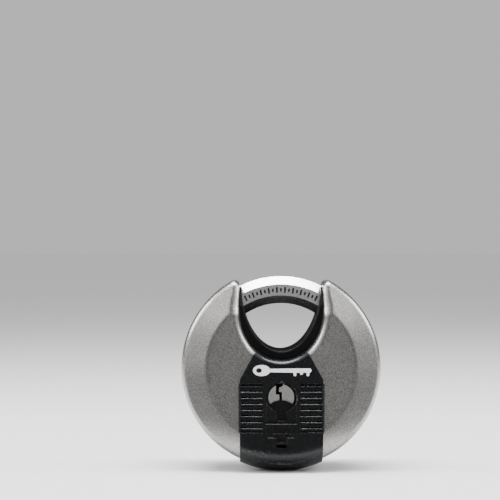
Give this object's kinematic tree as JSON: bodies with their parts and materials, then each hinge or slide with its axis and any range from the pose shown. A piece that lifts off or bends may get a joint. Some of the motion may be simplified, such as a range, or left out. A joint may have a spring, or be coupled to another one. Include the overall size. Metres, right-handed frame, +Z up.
{
  "type": "disc padlock",
  "caption": "Round steel padlock with a shrouded curved bar across a notch, a ribbed black cover and a sliding keyhole door.",
  "frame": {"origin": "centre of the flat back, on the disc's axis", "axes": "+Z up towards the shackle, -Y out of the front face, +X to the right seen from the front"},
  "size_m": [0.07, 0.0291, 0.0679],
  "materials": {
    "shell_steel": "satin stainless steel",
    "shackle_steel": "hardened steel, ground and plated",
    "cover_plastic": "fine-grained black plastic",
    "liner_plastic": "coarse-grained black plastic",
    "door_plastic": "smooth black plastic",
    "core_casting": "raw grey zinc casting",
    "plug_nickel": "nickel-plated brass",
    "housing_brass": "turned brass",
    "pin_brass": "turned brass",
    "pin_steel": "ground steel",
    "spring_steel": "spring wire",
    "gear_steel": "machined steel",
    "fastener_steel": "zinc-plated steel"
  },
  "bodies": {
    "lock_body": {"front_shell": "shell_steel", "rear_shell": "shell_steel", "core_front": "core_casting", "core_middle": "core_casting", "core_rear": "core_casting", "core_rivets": "fastener_steel", "notch_liner": "liner_plastic", "front_cover": "cover_plastic", "cylinder_housing": "housing_brass", "cylinder_pin": "fastener_steel", "chamber_strip": "pin_brass", "driver_spring_1": "spring_steel", "driver_spring_2": "spring_steel", "driver_spring_3": "spring_steel", "driver_spring_4": "spring_steel"},
    "shackle": {"shackle": "shackle_steel", "drive_plate": "gear_steel", "drive_plate_screws": "fastener_steel"},
    "plug": {"plug": "plug_nickel", "drive_gear": "gear_steel", "gear_screw": "fastener_steel"},
    "door": {"keyway_door": "door_plastic", "door_grip": "door_plastic"},
    "key_pin_1": {"key_pin_1": "pin_brass"},
    "driver_pin_1": {"driver_pin_1": "pin_steel"},
    "key_pin_2": {"key_pin_2": "pin_brass"},
    "driver_pin_2": {"driver_pin_2": "pin_steel"},
    "key_pin_3": {"key_pin_3": "pin_brass"},
    "driver_pin_3": {"driver_pin_3": "pin_steel"},
    "key_pin_4": {"key_pin_4": "pin_brass"},
    "driver_pin_4": {"driver_pin_4": "pin_steel"}
  },
  "joints": [
    {"name": "shackle_turn", "type": "hinge", "parent": "lock_body", "child": "shackle", "pos_m": [0, -0.013, 0], "axis": [0, 1, 0], "range_deg": [0, 79]},
    {"name": "plug_turn", "type": "hinge", "parent": "lock_body", "child": "plug", "pos_m": [0, -0.013, -0.01], "axis": [0, 1, 0], "range_deg": [0, 163.3]},
    {"name": "door_slide", "type": "slide", "parent": "lock_body", "child": "door", "axis": [0, 0, 1], "range_m": [-0.0034, 0.0071]},
    {"name": "key_pin_1_lift", "type": "slide", "parent": "plug", "child": "key_pin_1", "axis": [0, 0, 1], "range_m": [0, 0.0012]},
    {"name": "driver_pin_1_press", "type": "slide", "parent": "lock_body", "child": "driver_pin_1", "axis": [0, 0, -1], "range_m": [0, 0.0012], "stiffness_N_per_m": 150, "springref_m": -0.004, "deforming": ["driver_spring_1"]},
    {"name": "key_pin_2_lift", "type": "slide", "parent": "plug", "child": "key_pin_2", "axis": [0, 0, 1], "range_m": [0, 0.0012]},
    {"name": "driver_pin_2_press", "type": "slide", "parent": "lock_body", "child": "driver_pin_2", "axis": [0, 0, -1], "range_m": [0, 0.0012], "stiffness_N_per_m": 150, "springref_m": -0.004, "deforming": ["driver_spring_2"]},
    {"name": "key_pin_3_lift", "type": "slide", "parent": "plug", "child": "key_pin_3", "axis": [0, 0, 1], "range_m": [0, 0.0012]},
    {"name": "driver_pin_3_press", "type": "slide", "parent": "lock_body", "child": "driver_pin_3", "axis": [0, 0, -1], "range_m": [0, 0.0012], "stiffness_N_per_m": 150, "springref_m": -0.004, "deforming": ["driver_spring_3"]},
    {"name": "key_pin_4_lift", "type": "slide", "parent": "plug", "child": "key_pin_4", "axis": [0, 0, 1], "range_m": [0, 0.0012]},
    {"name": "driver_pin_4_press", "type": "slide", "parent": "lock_body", "child": "driver_pin_4", "axis": [0, 0, -1], "range_m": [0, 0.0012], "stiffness_N_per_m": 150, "springref_m": -0.004, "deforming": ["driver_spring_4"]}
  ],
  "couplings": [
    {"joint": "plug_turn", "follows": "shackle_turn", "ratio": 2.0667}
  ]
}
